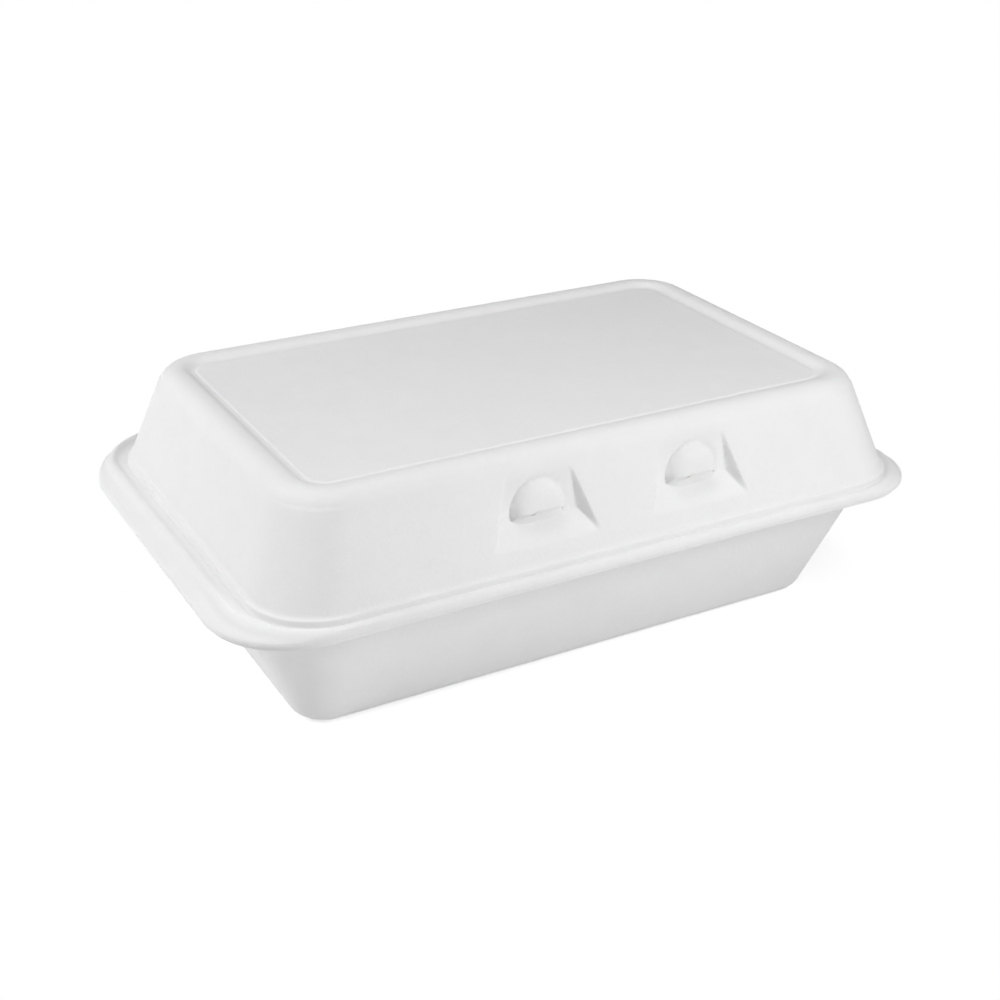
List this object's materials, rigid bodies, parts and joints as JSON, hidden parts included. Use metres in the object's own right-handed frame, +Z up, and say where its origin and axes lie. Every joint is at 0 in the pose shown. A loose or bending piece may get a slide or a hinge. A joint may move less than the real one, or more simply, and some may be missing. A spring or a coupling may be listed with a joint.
{
  "type": "foam clamshell container",
  "caption": "White foam clamshell food container: a tapered rectangular tray and a rear-hinged lid with a recessed top panel, a beaded rim and hooded lock pockets in its front wall.",
  "frame": {"origin": "on the surface the tray stands on, below the middle of the closed container", "axes": "+X along the long side, -Y towards the front with the lock pockets, +Y towards the hinge, +Z up"},
  "size_m": [0.233, 0.1544, 0.0788],
  "materials": {
    "foam": "thermoformed white foam sheet, matte skin with fine cells"
  },
  "bodies": {
    "tray": {"tray": "foam"},
    "lid": {"lid": "foam"}
  },
  "joints": [
    {"name": "lid_hinge", "type": "hinge", "parent": "tray", "child": "lid", "pos_m": [0, 0.0763, 0.04256], "axis": [-1, 0, 0], "range_deg": [0, 180]}
  ]
}
